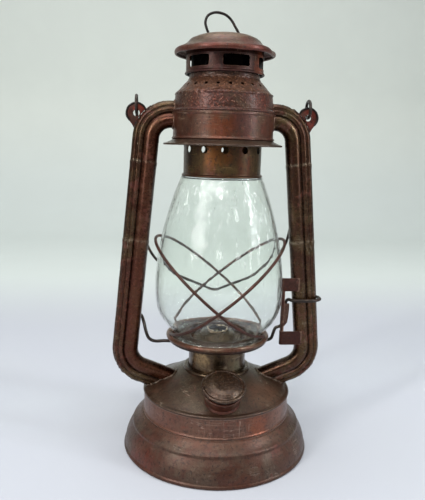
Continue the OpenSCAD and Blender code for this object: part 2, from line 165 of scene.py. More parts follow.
def turned(outline, seg=160, uneven=0.12, freq=0.035, seed=0.0, dents=(), relief=()):
    """Vertices and faces of a closed outline (r, z) turned about Z, slightly out of true.
    dents are (angle, z, spread in mm, inward, down); relief is (low z, high z, height in mm,
    frequency per mm) of crumpled stretches."""
    outline = dense(outline, 0.8 if relief else 1.3)
    verts, faces, n = [], [], len(outline)
    for s in range(seg):
        a = 2 * math.pi * s / seg
        c, q = math.cos(a), math.sin(a)
        for r, z in outline:
            k = min(1, r / 8)
            p = (r * c, r * q, z)
            dr = wobble(p, uneven, freq, seed) * k
            dz = 0.5 * wobble(p, uneven, freq, seed + 7) * k
            for z0, z1, height, f in relief:
                if z0 < z < z1:
                    edge = min(1, (z - z0) / 0.8, (z1 - z) / 0.8)
                    dr += edge * (wobble(p, height, f, seed + 17)
                                  + wobble(p, height * 0.5, f * 2.3, seed + 19))
            for da, zz, spread, inward, down in dents:
                d = math.dist(p, (r * math.cos(radians(da)), r * math.sin(radians(da)), zz))
                w = math.exp(-(d / spread) ** 2)
                dr -= inward * w
                dz -= down * w
            verts.append(((r + dr) * c, (r + dr) * q, z + dz))
    for s in range(seg):
        t = (s + 1) % seg
        for i in range(n):
            j = (i + 1) % n
            faces.append((s * n + i, t * n + i, t * n + j, s * n + j))
    return verts, faces


def placed(verts, m):
    """Points moved by matrix m."""
    return [tuple(m @ Vector(v)) for v in verts]


def frames(path):
    """Tangent and two side directions at each point, carried along without twist."""
    out, side = [], None
    for i, p in enumerate(path):
        t = path[min(i + 1, len(path) - 1)] - path[max(i - 1, 0)]
        t = t / np.linalg.norm(t)
        if side is None:
            ref = np.array([0, 0, 1.0]) if abs(t[2]) < 0.9 else np.array([1.0, 0, 0])
            side = np.cross(t, ref)
        side = side - (side @ t) * t
        side = side / np.linalg.norm(side)
        out.append((t, side, np.cross(t, side)))
    return out


def wire(path, r, sides=14, uneven=0.05, seed=0.0, round_ends=True):
    """Swept round wire with domed ends and a slightly pitted surface."""
    path = [np.array(p, float) for p in path]
    fr = frames(path)

    def dome(end, way):
        """Rings that close the wire, from its tip inwards."""
        return [(path[end] + way * fr[end][0] * r * (1 - k) * 0.9, fr[end],
                 r * math.sin(math.acos(1 - k))) for k in (0.25, 0.7, 0.95) if round_ends]

    rings = dome(0, -1) + [(p, f, r) for p, f in zip(path, fr)] + dome(-1, 1)[::-1]
    verts, faces = [], []
    for c, (t, u, v), rr in rings:
        for k in range(sides):
            a = 2 * math.pi * k / sides
            d = math.cos(a) * u + math.sin(a) * v
            p = c + rr * d
            verts.append(tuple(p + d * wobble(p, uneven, 0.35, seed)))
    m = len(rings)
    for i in range(m - 1):
        for k in range(sides):
            l = (k + 1) % sides
            faces.append((i * sides + k, i * sides + l, (i + 1) * sides + l, (i + 1) * sides + k))
    faces.append(tuple(range(sides))[::-1])
    faces.append(tuple((m - 1) * sides + k for k in range(sides)))
    return verts, faces


def cut(ob, cutters):
    """Takes the closed meshes in cutters away from ob."""
    verts, faces = joined(cutters)
    me = bpy.data.meshes.new("cutter")
    me.from_pydata([tuple(np.array(v) * MM) for v in verts], [], faces)
    tool = new_object("cutter", me)
    mod = ob.modifiers.new("cut", "BOOLEAN")
    mod.operation, mod.solver, mod.object = "DIFFERENCE", "EXACT", tool
    dg = bpy.context.evaluated_depsgraph_get()
    old, ob.data = ob.data, bpy.data.meshes.new_from_object(ob.evaluated_get(dg))
    ob.modifiers.clear()
    bpy.data.meshes.remove(old)
    bpy.data.objects.remove(tool)
    bpy.data.meshes.remove(me)
    soften(ob.data)


def prism(outline, depth, m):
    """Closed bar over a 2D outline in local XY, from z 0 to depth, placed by matrix m."""
    n = len(outline)
    verts = [(x, y, z) for z in (0, depth) for x, y in outline]
    faces = [tuple(range(n))[::-1], tuple(range(n, 2 * n))]
    faces += [(i, (i + 1) % n, n + (i + 1) % n, n + i) for i in range(n)]
    return placed(verts, m), faces


def pierce(ob, n, first, outline, depth, x, z, tip, back=0):
    """Cuts n equal holes round ob, the first at the angle first. Each is bored at radius x and
    height z, tipped tip degrees from upright, from back mm short of there, to the given depth."""
    cut(ob, [prism(outline, depth, Matrix.Rotation(radians(first + i * 360 / n), 4, "Z")
                   @ Matrix.Translation((x, 0, z)) @ Matrix.Rotation(radians(tip), 4, "Y")
                   @ Matrix.Translation((0, 0, -back))) for i in range(n)])


def circle(r, n):
    """n points round a circle."""
    return [(r * math.cos(2 * math.pi * i / n), r * math.sin(2 * math.pi * i / n)) for i in range(n)]


# ------ materials

def lin(r, g, b):
    """Linear colour from 8-bit display values."""
    f = lambda c: c / 12.92 if c <= 0.04045 else ((c + 0.055) / 1.055) ** 2.4
    return (f(r / 255), f(g / 255), f(b / 255), 1)


class Nodes:
    """A material under construction. Its methods add nodes and return their output."""

    def __init__(self, name):
        self.mat = bpy.data.materials.new(name)
        self.mat.use_nodes = True
        self.t = self.mat.node_tree
        self.t.nodes.clear()
        self.out = self.t.nodes.new("ShaderNodeOutputMaterial")
        self.coord = self.t.nodes.new("ShaderNodeTexCoord").outputs["Object"]

    def link(self, a, b):
        self.t.links.new(a, b)

    def node(self, kind, **inputs):
        n = self.t.nodes.new(kind)
        self.fill(n, {k.replace("_", " "): v for k, v in inputs.items()})
        return n

    def noise(self, scale, detail, rough=0.6, stretch=(1, 1, 1), offset=0.0, distortion=0.0):
        m = self.node("ShaderNodeMapping", Vector=self.coord, Scale=stretch,
                      Location=(offset, offset * 0.7, offset * 1.3))
        n = self.node("ShaderNodeTexNoise", Vector=m.outputs[0], Scale=scale, Detail=detail,
                      Roughness=rough, Distortion=distortion)
        return n.outputs["Fac"]

    def cells(self, scale, stretch=(1, 1, 1), offset=0.0):
        """Distance to the nearest of many scattered points."""
        m = self.node("ShaderNodeMapping", Vector=self.coord, Scale=stretch,
                      Location=(offset, offset, offset))
        return self.node("ShaderNodeTexVoronoi", Vector=m.outputs[0], Scale=scale).outputs["Distance"]

    def band(self, x, lo, hi, a=0.0, b=1.0):
        """Smooth step from a to b while x goes from lo to hi."""
        n = self.node("ShaderNodeMapRange")
        n.interpolation_type = "SMOOTHSTEP"
        self.fill(n, {"Value": x, "From Min": lo, "From Max": hi, "To Min": a, "To Max": b})
        return n.outputs[0]

    def fill(self, n, values):
        """Links or sets inputs of node n, by number or name."""
        for k, v in values.items():
            if isinstance(v, bpy.types.NodeSocket):
                self.link(v, n.inputs[k])
            else:
                n.inputs[k].default_value = v

    def math(self, op, a, b=0.0):
        n = self.t.nodes.new("ShaderNodeMath")
        n.operation = op
        self.fill(n, {0: a, 1: b})
        return n.outputs[0]

    def add(self, a, b):
        return self.math("ADD", a, b)

    def sub(self, a, b):
        return self.math("SUBTRACT", a, b)

    def mul(self, a, b):
        return self.math("MULTIPLY", a, b)

    def mix(self, fac, a, b):
        """Colour a where fac is 0, colour b where it is 1."""
        n = self.t.nodes.new("ShaderNodeMix")
        n.data_type = "RGBA"
        self.fill(n, {0: fac, 6: a, 7: b})
        return n.outputs[2]

    def blend(self, fac, a, b):
        """Shader a where fac is 0, shader b where it is 1."""
        n = self.t.nodes.new("ShaderNodeMixShader")
        self.fill(n, {0: fac, 1: a.outputs[0], 2: b.outputs[0]})
        return n

    def axis(self, k):
        """Coordinate x, y or z for k 0, 1 or 2, in metres."""
        return self.node("ShaderNodeSeparateXYZ", Vector=self.coord).outputs[k]

    def pointed(self):
        """How convex the surface is: 0.5 where it is flat."""
        return self.t.nodes.new("ShaderNodeNewGeometry").outputs["Pointiness"]

    def named(self, key):
        """Value that make() stored on the mesh under key."""
        n = self.t.nodes.new("ShaderNodeAttribute")
        n.attribute_name = key
        return n.outputs["Fac"]

    def bump(self, height, strength, distance):
        return self.node("ShaderNodeBump", Height=height, Strength=strength,
                         Distance=distance).outputs[0]

    def done(self, shader):
        self.link(shader.outputs[0], self.out.inputs["Surface"])
        return self.mat


def worn_metal(name, base, patina, rust, dark, bright, rust_amount, patina_amount,
               metallic=0.6, rough=(0.3, 0.52), streaks=0.35, seed=0.0, bump=1.0, rings=0.0,
               edges=True, spots=(), zones=(), coat=0.25, tone=(0.79, 0.61, 0.455),
               inner_tint=None, emboss=0.0):
    """Old tinned or coppered sheet: base colour with patina clouds, rust blooms, dark pits,
    fine scratches, vertical streaks and rubbed, brighter edges, and, when edges is set, painted
    shade in its creases. Colours are 8-bit display values, and tone scales them all but dark and
    bright. spots are soft patches (x, y, z, radius in mm, colour, amount); zones are bands of height
    (z of none, z of all, colour, amount); some materials use them for painted highlights and shade.
    rings is the depth of turning marks, emboss that of a pebbled grain with painted shade between
    the pebbles. inner_tint is for meshes that store two values: inner, where the tint is laid on,
    and one that paints highlights along ridges and shade in creases."""
    m = Nodes(name + "_skin")
    shade = lambda c: tuple(a * b for a, b in zip(lin(*c)[:3], tone)) + (1,)
    base, patina, rust = shade(base), shade(patina), shade(rust)
    dark, bright = lin(*dark), lin(*bright)
    clouds = m.noise(55, 6, 0.62, offset=seed, distortion=0.4)
    broad = m.noise(22, 3, 0.5, offset=seed + 3)
    fine = m.noise(420, 5, 0.7, offset=seed + 5)
    grit = m.noise(1500, 3, 0.6, offset=seed + 9)
    runs = m.noise(150, 5, 0.65, stretch=(1, 1, 0.09), offset=seed + 2)
    blotch = m.noise(120, 7, 0.7, offset=seed + 11, distortion=0.8)
    patina_at = 0.62 - 0.22 * patina_amount
    col = m.mix(m.band(clouds, patina_at - 0.09, patina_at + 0.12), base, patina)
    ragged = m.mul(m.sub(clouds, 0.5), 0.03)
    for x, y, z, r, c, amount in spots:
        d = m.t.nodes.new("ShaderNodeVectorMath")
        d.operation = "DISTANCE"
        m.fill(d, {0: m.coord, 1: (x * MM, y * MM, z * MM)})
        away = m.add(d.outputs["Value"], ragged)
        col = m.mix(m.band(away, r * MM * 1.25, r * MM * 0.35, 0, amount), col, shade(c))
    for z0, z1, c, amount in zones:
        height = m.add(m.axis(2), m.mul(ragged, 0.25))
        col = m.mix(m.band(height, z0 * MM, z1 * MM, 0, amount), col, shade(c))
    col = m.mix(m.mul(m.band(runs, 0.42, 0.68), streaks), col, patina)
    rust_at = 0.66 - 0.2 * rust_amount
    rusty = m.mul(m.band(blotch, rust_at - 0.05, rust_at + 0.09), m.band(broad, 0.36, 0.6, 0.25, 0.9))
    col = m.mix(rusty, col, rust)
    col = m.mix(m.mul(m.band(fine, 0.5, 0.66), 0.72), col, dark)
    scurf = m.noise(800, 4, 0.7, offset=seed + 14)
    col = m.mix(m.mul(m.band(scurf, 0.54, 0.7), 0.5), col, patina)
    col = m.mix(m.mul(m.band(runs, 0.38, 0.26), 0.55), col, dark)
    pits = m.band(m.cells(700, offset=seed), 0.16, 0.05)
    col = m.mix(m.mul(pits, m.band(broad, 0.42, 0.6, 0.05, 0.6)), col, dark)
    col = m.mix(m.mul(m.band(grit, 0.64, 0.72), 0.4), col, bright)
    line = lambda v: m.band(m.math("ABSOLUTE", m.sub(v, 0.5)), 0.0065, 0.001)
    upright = line(m.noise(240, 2, 0.5, stretch=(1, 1, 0.05), offset=seed + 21))
    level = line(m.noise(200, 2, 0.5, stretch=(0.08, 0.08, 1), offset=seed + 31))
    scratches = m.mul(m.math("MAXIMUM", upright, level), m.band(clouds, 0.5, 0.62, 0.0, 0.5))
    col = m.mix(scratches, col, bright)
    if edges:
        edge = m.mul(m.band(m.pointed(), 0.53, 0.6), m.band(fine, 0.38, 0.56))
        col = m.mix(m.mul(edge, 0.7), col, bright)
        # painted shade: concave creases are darkened as if shadowed
        crease_shade = m.band(m.pointed(), 0.485, 0.43)
        col = m.mix(m.mul(crease_shade, 0.75), col, dark)
    if inner_tint:
        inner = m.add(m.named("inner"), m.mul(m.sub(runs, 0.5), 1.6))
        col = m.mix(m.band(inner, 0.3, 0.9, 0, 0.6), col, shade(inner_tint))
        # painted shade in the tubes' creases, edges and insides, and painted highlights along their ridges
        worn = m.add(m.named("worn"), m.mul(m.sub(fine, 0.5), 0.9))
        col = m.mix(m.band(worn, -0.15, -0.75, 0, 0.9), col, dark)
        col = m.mix(m.band(worn, 0.35, 0.95, 0, 0.55), col, bright)
    h = m.add(m.mul(fine, 0.5), m.mul(grit, 0.25))
    h = m.add(h, m.mul(rusty, 0.35))
    h = m.sub(h, m.mul(pits, 0.3))
    h = m.add(h, m.mul(clouds, 1.1))
    if emboss:
        pebbles = m.band(m.cells(560, stretch=(1, 1, 0.8), offset=seed), 0.5, 0.1)
        h = m.add(h, m.mul(pebbles, emboss))
        # painted shade in the hollows between the pebbles
        col = m.mix(m.band(pebbles, 0.35, 0.0, 0, 0.45), col, dark)
    if rings:
        radius = m.math("SQRT", m.add(*[m.math("POWER", m.axis(k), 2.0) for k in (0, 1)]))
        h = m.add(h, m.mul(m.math("SINE", m.mul(radius, 4500.0)), rings))
    mean = m.add(m.mul(fine, 0.5), m.mul(clouds, 0.5))
    gloss = m.add(m.band(mean, 0.35, 0.62, *rough), m.mul(rusty, 0.2))
    return m.done(m.node("ShaderNodeBsdfPrincipled", Base_Color=col, Roughness=gloss,
                         Metallic=m.sub(metallic, m.mul(rusty, metallic * 0.7)), Coat_Weight=coat,
                         Coat_Roughness=0.3, Normal=m.bump(h, 0.5 * bump, 0.00035)))


def glass():
    """Clear old glass with a faint green tint: drawn streaks, dried drops and seeds break up
    its reflections, and a little dust lies on it. Shadow rays pass through it."""
    m = Nodes("globe_glass")
    wave = m.noise(48, 3, 0.5, stretch=(1, 1, 0.45))
    drawn = m.noise(260, 3, 0.6, stretch=(1, 1, 0.12), offset=3)
    drops = m.band(m.cells(210, stretch=(1, 1, 0.45), offset=2), 0.36, 0.05)
    h = m.add(m.mul(wave, 0.7), m.mul(drawn, 0.22))
    h = m.add(h, m.mul(drops, 0.16))
    through = m.node("ShaderNodeBsdfRefraction", Color=(0.985, 1.0, 0.985, 1), Roughness=0.0,
                     IOR=1.46, Normal=m.bump(wave, 0.25, 0.001))
    shine = m.node("ShaderNodeBsdfAnisotropic", Color=(1, 1, 1, 1), Roughness=0.05,
                   Normal=m.bump(h, 0.9, 0.0026))
    clean = m.blend(m.node("ShaderNodeFresnel", IOR=1.45).outputs[0], through, shine)
    dust = m.node("ShaderNodeBsdfDiffuse", Color=(0.86, 0.9, 0.87, 1))
    smear = m.mul(m.band(m.noise(70, 6, 0.7, offset=8), 0.5, 0.75),
                  m.band(m.noise(500, 4, 0.7, offset=1), 0.35, 0.7, 0.01, 0.1))
    runs = m.mul(m.band(m.noise(230, 4, 0.62, stretch=(1, 1, 0.13), offset=5), 0.57, 0.7),
                 m.band(m.noise(48, 3, 0.6, offset=6), 0.46, 0.6))
    runs = m.mul(runs, m.band(m.axis(2), 0.15, 0.2, 0.15, 0.62))
    smear = m.mul(m.math("MAXIMUM", smear, runs), m.band(m.axis(2), 0.1, 0.12, 0.2, 1.0))
    clear = m.node("ShaderNodeBsdfTransparent", Color=(0.93, 0.96, 0.95, 1))
    shadow = m.t.nodes.new("ShaderNodeLightPath").outputs["Is Shadow Ray"]
    return m.done(m.blend(shadow, m.blend(smear, clean, dust), clear))


def matte(m, col, rough, height, strength, distance):
    """Finishes material m as a dull surface with a bump from height."""
    return m.done(m.node("ShaderNodeBsdfPrincipled", Base_Color=col, Roughness=rough,
                         Normal=m.bump(height, strength, distance)))


def cotton():
    """Woven wick, charred at its top."""
    m = Nodes("wick_weave")
    threads = []
    for scale, distortion, way in ((330.0, 0.6, "Z"), (260.0, 0.4, "Y")):
        n = m.node("ShaderNodeTexWave", Vector=m.coord, Scale=scale, Distortion=distortion, Detail=2.0)
        n.bands_direction = way
        threads.append(n.outputs["Fac"])
    weave = m.mul(*threads)
    col = m.mix(weave, lin(150, 138, 112), lin(214, 205, 180))
    col = m.mix(m.band(m.axis(2), 0.0975, 0.1005), col, lin(24, 20, 17))
    return matte(m, col, 0.95, weave, 0.7, 0.0004)


def cork():
    m = Nodes("gasket_cork")
    cell = m.cells(900)
    col = m.mix(m.band(cell, 0.1, 0.6), lin(92, 62, 38), lin(150, 112, 72))
    return matte(m, col, 0.9, cell, 0.6, 0.0003)


# The first zone makes the top of the skirt, where it slopes in, lighter: a painted highlight.
SKIRT = worn_metal(
    "skirt", (80, 54, 46), (88, 78, 72), (98, 50, 38), (32, 22, 19), (158, 138, 124), 0.3, 0.6,
    seed=4.0, rough=(0.34, 0.54), coat=0.12,
    spots=[(-66, -44, 6, 22, (122, 58, 44), 0.55), (20, -78, 3, 16, (96, 58, 44), 0.5),
           (60, -50, 8, 24, (104, 76, 66), 0.4)],
    zones=[(26, 30, (104, 72, 60), 0.5), (5, 1, (82, 50, 38), 0.55)])
# The patches at left (-52, -36) and right (48, -42) are lighter and the one at front (6, -62) darker:
# painted sheen and shade on the round band. The orange patch is rust.
BAND = worn_metal(
    "band", (104, 72, 62), (114, 90, 82), (112, 62, 42), (40, 28, 24), (176, 148, 132), 0.35, 0.42,
    seed=6.0,
    spots=[(28, -56, 42, 12, (148, 88, 60), 0.7), (48, -42, 44, 13, (150, 112, 100), 0.6),
           (-52, -36, 40, 22, (122, 84, 72), 0.5), (6, -62, 38, 16, (84, 54, 48), 0.5)])
# The light patch at right (40, -36) and the one by the filler (-20, -44) are painted highlights.
CONE = worn_metal(
    "cone", (76, 58, 46), (84, 76, 62), (98, 56, 38), (32, 25, 20), (168, 150, 130), 0.3, 0.55,
    seed=8.0, tone=(0.78, 0.62, 0.51),
    zones=[(56, 52, (72, 48, 38), 0.5)],
    spots=[(40, -36, 60, 20, (128, 100, 84), 0.75), (-20, -44, 62, 12, (100, 88, 74), 0.4)])
TUBE = worn_metal(
    "tube", (72, 43, 29), (84, 77, 56), (92, 38, 24), (16, 9, 7), (150, 134, 112), 0.5, 0.38,
    streaks=0.4, seed=12.0, metallic=0.8, rough=(0.16, 0.34), coat=0.2, inner_tint=(84, 42, 27), bump=0.9,
    tone=(0.82, 0.6, 0.33),
    spots=[(-77, -6, 130, 40, (84, 38, 26), 0.5), (-62, -7, 220, 30, (78, 38, 27), 0.5),
           (70, -6, 240, 34, (78, 48, 34), 0.5), (84, -6, 110, 34, (96, 76, 54), 0.5)],
    zones=[(246.6, 245.4, (64, 38, 30), 0.2)])
EAR = worn_metal(
    "ear", (78, 40, 32), (92, 72, 62), (128, 48, 30), (24, 15, 13), (150, 126, 108), 0.6, 0.4,
    seed=13.0, edges=False,
    spots=[(-67, -1, 284, 5, (150, 58, 36), 0.8), (72, -1, 284, 5, (130, 50, 36), 0.6)])
CHAMBER_LOW = worn_metal(
    "chamber_low", (86, 48, 34), (88, 66, 52), (116, 52, 30), (34, 21, 17), (168, 138, 114), 0.4,
    0.36, seed=15.0,
    spots=[(-8, -40, 273, 13, (124, 68, 32), 0.65), (16, -38, 276, 12, (96, 68, 74), 0.55),
           (34, -24, 276, 13, (118, 70, 52), 0.6), (-30, -30, 275, 14, (78, 56, 42), 0.5)])
# Its zones paint the upward slope of the shoulder lighter, a painted highlight, and darken the top just
# under the cap band, a painted shadow. The spots are rust.
CHAMBER_TOP = worn_metal(
    "chamber_top", (92, 52, 40), (92, 72, 56), (112, 48, 32), (34, 20, 17), (190, 160, 138), 0.5,
    0.35, seed=18.0, bump=1.6, emboss=0.9,
    spots=[(30, -28, 293, 12, (134, 60, 42), 0.7), (-24, -32, 292, 16, (112, 56, 42), 0.6)],
    zones=[(298.5, 301.5, (140, 104, 82), 0.8), (308, 312, (66, 44, 38), 0.6)])
# The dark patch at left (-27, -16) is painted shade on the pipe's left side.
CHIMNEY = worn_metal(
    "chimney", (76, 48, 26), (78, 66, 40), (96, 46, 24), (24, 16, 10), (140, 108, 66), 0.4, 0.36,
    streaks=0.7, seed=21.0, metallic=0.75, rough=(0.3, 0.48), tone=(0.9, 0.74, 0.5),
    spots=[(-8, -31, 250, 12, (124, 80, 30), 0.85), (18, -26, 246, 9, (96, 48, 30), 0.6),
           (-27, -16, 250, 12, (46, 28, 17), 0.8)],
    zones=[(241, 237, (72, 36, 22), 0.7)])
CAP = worn_metal(
    "cap", (80, 58, 48), (104, 92, 80), (92, 50, 38), (34, 25, 21), (178, 162, 146), 0.3, 0.5,
    seed=24.0, rings=0.25, bump=1.5,
    zones=[(335.0, 332.4, (98, 40, 27), 0.85), (338.5, 341.5, (146, 136, 124), 0.45)],
    spots=[(20, -34, 333, 16, (112, 48, 32), 0.7), (-8, -38, 331, 14, (96, 56, 38), 0.6),
           (-30, -26, 333, 12, (120, 108, 92), 0.5)])
# Its zone paints the lowest part of the lid, down by the neck, near black: a painted shadow in the gap
# under the rim.
LID = worn_metal(
    "lid", (80, 62, 52), (96, 84, 72), (92, 54, 40), (32, 25, 21), (186, 168, 150), 0.25, 0.5,
    seed=25.0, rough=(0.16, 0.32), bump=1.4, emboss=0.2, coat=0.06,
    zones=[(65.4, 64.2, (16, 11, 9), 0.92)])
NECK = worn_metal(
    "neck", (92, 50, 38), (92, 70, 58), (120, 58, 40), (30, 19, 15), (176, 148, 130), 0.5, 0.35,
    seed=25.5, bump=1.5, rough=(0.28, 0.46))
CAP_BAND = worn_metal(
    "cap_band", (58, 28, 21), (66, 44, 34), (84, 38, 26), (18, 11, 9), (160, 126, 102), 0.45, 0.35,
    seed=26.0, tone=(0.74, 0.46, 0.3), coat=0.06,
    spots=[(26, -17, 322, 10, (168, 100, 66), 0.85), (-30, -8, 322, 9, (120, 84, 66), 0.6)])
BRASSY = dict(
    base=(74, 60, 46), patina=(96, 86, 68), rust=(84, 52, 36), dark=(28, 22, 17), bright=(176, 158, 132),
    rust_amount=0.25, patina_amount=0.45, seed=28.0, metallic=0.85, rough=(0.2, 0.36))
COLLAR = worn_metal("collar", **BRASSY)
# The bright patch at front left (-16, -18) on the burner collar is a painted highlight.
PLATE = worn_metal(
    "collar_plain", **BRASSY, edges=False,
    spots=[(-16, -18, 82, 9, (176, 164, 132), 0.75), (14, -20, 79, 8, (124, 134, 114), 0.7),
           (0, -25, 82, 5, (44, 34, 26), 0.7)])
DISH = worn_metal(
    "dish", (100, 60, 44), (104, 84, 68), (122, 64, 42), (34, 24, 19), (206, 180, 156), 0.45, 0.4,
    seed=29.0, rough=(0.22, 0.42), bump=1.4)
# A darker copy of the dish metal: painted shade for the dish body, whose roll keeps the lighter copy above.
DISH_SHADED = worn_metal(
    "dish_shaded", (50, 32, 24), (60, 48, 38), (76, 40, 26), (18, 12, 10), (130, 108, 90), 0.45, 0.4,
    seed=29.5, rough=(0.3, 0.5), edges=False)
SILVER = worn_metal(
    "burner", (150, 152, 148), (170, 170, 164), (120, 98, 78), (78, 76, 72), (222, 222, 216), 0.15,
    0.5, seed=31.0, metallic=0.9, rough=(0.22, 0.4), edges=False)
# The white zone on the dome's lip is partly its bright metal and partly a painted highlight.
DOME = worn_metal(
    "dome", (64, 58, 48), (84, 80, 68), (70, 50, 38), (22, 19, 16), (150, 146, 132), 0.2, 0.45,
    seed=32.0, metallic=0.85, rough=(0.2, 0.36), edges=False,
    zones=[(102.2, 102.7, (255, 255, 255), 1.0)])
BRIM = worn_metal(
    "brim", (72, 57, 48), (86, 76, 66), (88, 52, 38), (34, 26, 22), (178, 160, 142), 0.3, 0.5,
    seed=16.0, rough=(0.26, 0.44))
BRACKET = worn_metal(
    "bracket", (64, 30, 21), (66, 46, 36), (82, 38, 26), (22, 14, 11), (150, 118, 100), 0.45, 0.3,
    seed=34.0, metallic=0.55, rough=(0.4, 0.62), coat=0.04, tone=(0.76, 0.54, 0.4))
WIRE = worn_metal(
    "wire", (40, 33, 30), (52, 46, 42), (66, 40, 32), (18, 14, 12), (132, 116, 104), 0.5, 0.35,
    seed=37.0, metallic=0.65, rough=(0.3, 0.5), edges=False)
RUSTY_WIRE = worn_metal(
    "rusty_wire", (74, 44, 36), (66, 52, 44), (96, 46, 32), (26, 17, 14), (150, 122, 106), 0.6, 0.35,
    seed=39.0, metallic=0.6, rough=(0.36, 0.56), edges=False, coat=0.08, tone=(0.72, 0.54, 0.41))
BLACK_WIRE = worn_metal(
    "dark_wire", (26, 21, 20), (38, 33, 30), (50, 32, 26), (12, 10, 9), (110, 100, 92), 0.35, 0.35,
    seed=41.0, metallic=0.65, rough=(0.28, 0.46), edges=False)
# Near black and without reflections: sooty metal, and painted shade seen through the cap's slots.
SOOT_AND_SHADE = worn_metal(
    "soot_and_shade", (8, 6, 6), (12, 10, 9), (16, 11, 9), (4, 4, 3), (12, 10, 9), 0.3, 0.3, seed=43.0,
    metallic=1.0, rough=(0.6, 0.8), edges=False, coat=0)
GLASS = glass()
COTTON = cotton()
CORK = cork()


# ------ tank

def add(name, outline, body, nodes, slot, mat, **kw):
    """Piece turned about Z from a closed outline (r, z)."""
    v, f = turned(outline, **kw)
    return make(name, v, f, body, nodes, mat)


skirt = rounded([
    (77.4, 0), (79.3, 0.1), (80, 1.1), (79.9, 2.6), (79.0, 3.7), (78.9, 5.4), (78.2, 9.4), (77.0, 13.2),
    (75.3, 16.8), (73.5, 20.0), (72.6, 21.6), (72.5, 22.7), (72.1, 23.8), (71.3, 24.6), (70.1, 25.4),
    (68.3, 27.0), (66.5, 29.1), (65.2, 30.6), (64.3, 31.4), (63.4, 31.8), (63.2, 32.45)], 1.0)
add("base_skirt", sheet(skirt, WALL), "frame", ["tank_base"], "tank_steel", SKIRT, seg=220,
    uneven=0.16, seed=1, dents=[(-118, 12, 9, 0.5, 0), (-58, 8, 6, 0.35, 0)])

band = rounded([
    (63.2, 32.5), (63.8, 32.9), (63.8, 33.7), (63.1, 34.3), (62.8, 35.6), (62.6, 40), (62.6, 47.4),
    (62.55, 49.5)], 0.5)
add("tank_band_skin", sheet(band, WALL), "frame", ["tank_band"], "tank_steel", BAND, seg=220,
    uneven=0.22, freq=0.05, seed=3, dents=[(-66, 41, 7, 0.35, 0)])

cone = rounded([
    (62.7, 49.6), (63.4, 49.8), (63.7, 50.6), (63.5, 51.5), (62.7, 52.0), (61.7, 52.05), (60.6, 52.3),
    (45.5, 60.3), (30.6, 68.0), (28.9, 68.85), (27.6, 69.0), (18, 69.0)], 0.5)
add("tank_slope", sheet(cone, WALL), "frame", ["tank_top"], "tank_steel", CONE, seg=200, uneven=0.25,
    freq=0.04, seed=5)

flange = rounded([
    (24.44, 69.0), (28.6, 69.0), (28.9, 69.9), (28.5, 71.0), (27.2, 71.7), (25.6, 71.5), (24.44, 71.4),
    (24.44, 69.0)], 0.5)[:-1]
add("burner_ring", flange, "frame", ["burner_flange"], "collar_metal", COLLAR, seg=120, uneven=0.05)

BAND_R, BAND_Z, RING_R, RING_Z = 62.6, 51.2, 28.6, 69  # where the slope starts and ends


def slope_z(r):
    """Height of the tank's slope at radius r."""
    return BAND_Z + (BAND_R - r) * (RING_Z - BAND_Z) / (BAND_R - RING_R)


# filler neck and cap, turned about Z and then set on the slope
FILLER_R, FILLER_TILT = 47.5, 22.3
tilt = (Matrix.Translation((0, -FILLER_R, slope_z(FILLER_R)))
        @ Matrix.Rotation(radians(FILLER_TILT), 4, "X"))
neck = rounded([
    (11.6, -8), (12.9, -8), (12.9, -2.5), (14.6, -0.9), (13.3, 1.0), (14.2, 4.4), (15.4, 8.2),
    (16.0, 9.6), (15.9, 10.4), (13.3, 10.6), (13.2, 11), (13.2, 14.4), (12.8, 14.6), (11.8, 14.6),
    (11.6, 14.2), (11.6, -8)], 0.5)[:-1]
v, f = turned(neck, seg=96, uneven=0.08, freq=0.08)
make("filler_neck_skin", placed(v, tilt), f, "frame", ["filler_neck"], NECK)
lid = rounded([
    (13.9, 11.3), (14.9, 11.2), (15.3, 11.6), (15.2, 12.3), (15.1, 13.4), (15.9, 13.8), (17.2, 14.1),
    (17.7, 14.9), (17.6, 15.9), (16.8, 16.5), (15.9, 16.5), (15.2, 16.1), (14.6, 16.2), (13.8, 16.8),
    (11.6, 18.0), (8, 18.75), (4, 18.98), (0, 19.0), (0, 15.6), (13.9, 15.6), (13.9, 11.3)], 0.5)[:-1]
v, f = turned(lid, seg=96, uneven=0.1, freq=0.09, seed=2)
make("filler_lid", placed(v, tilt), f, "filler_cap", ["filler_cap"], LID)

# ------ side tubes

LEAN, TUBE_END = 5.4, -68  # degrees the legs lean, and the way that the lower bend faces at its end
RT, RL = 19.8, 21.5  # radii of the upper and the lower bend
TOP_C = np.array([42.6, 263.0])
LEG_FOOT = 88.5  # height where the lower bend starts
JOINTS = (246, 181)  # heights of the two sleeved joints in a leg
REACH = 8.5  # mean distance of the tube's skin from its centreline
BEND_STEPS, LEG_STEPS = 44, 90


def heading(degrees):
    return np.array([math.cos(radians(degrees)), math.sin(radians(degrees))])


def turned_right(o):
    return np.array([o[1], -o[0]])


UP = heading(LEAN)
DOWN = turned_right(UP)
LEG0 = TOP_C + RT * UP
LEG_LEN = (LEG0[1] - LEG_FOOT) / math.cos(radians(LEAN))
LOW_C = LEG0 + LEG_LEN * DOWN - RL * UP
# half of a tube's cross-section: x outwards, y to one side
half = [(-10.7, 0), (-10.5, 1.8), (-9.7, 3.9), (-8.3, 5.7), (-6.5, 6.75), (-4.5, 6.95), (-2.5, 6.6),
        (-0.7, 5.7), (0.6, 4.6), (1.35, 3.9), (1.8, 4.3), (2.4, 4.85), (3.5, 5.1), (4.6, 4.95), (5.4, 4.55),
        (5.85, 3.9), (6.2, 3.5), (6.6, 3.6), (7.4, 3.85), (8.4, 3.6), (9.1, 3.0), (9.4, 2.4), (9.8, 2.1),
        (10.4, 1.4), (10.9, 0)]
upper_half = smooth(half, 2)
SECTION = upper_half + [np.array([x, -y]) for x, y in upper_half[-2:0:-1]]


